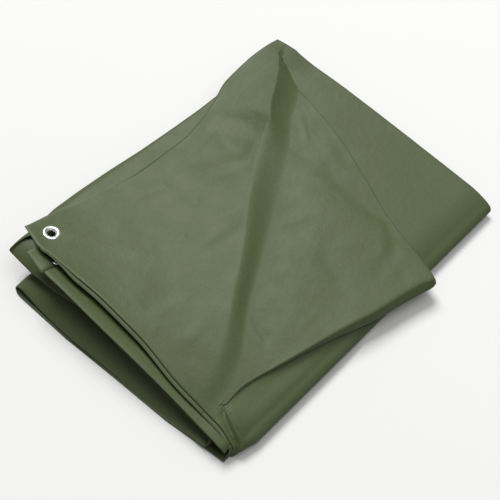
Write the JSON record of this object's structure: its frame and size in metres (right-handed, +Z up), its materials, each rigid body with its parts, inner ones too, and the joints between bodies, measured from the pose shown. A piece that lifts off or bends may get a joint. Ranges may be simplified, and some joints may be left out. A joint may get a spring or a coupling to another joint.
{
  "type": "folded poly tarp",
  "caption": "Laminated poly tarp folded back and forth into a low rectangular stack, one corner lifted, with open metal eyelets at its hemmed corners.",
  "frame": {"origin": "on the floor, under the middle of the stack's box", "axes": "+X from the left edge to the bend down the right side, +Y from the front hems to the back edge, +Z up"},
  "size_m": [0.4202, 0.5312, 0.0793],
  "materials": {
    "tarp_cloth": "satin laminated woven polyethylene, olive green",
    "eyelet_metal": "bright rolled"
  },
  "bodies": {
    "root": {"folded_cloth": "tarp_cloth", "upper_corner": "tarp_cloth", "upper_eyelet": "eyelet_metal", "upper_washer": "eyelet_metal", "lower_corner": "tarp_cloth", "lower_eyelet": "eyelet_metal", "lower_washer": "eyelet_metal"}
  },
  "joints": []
}
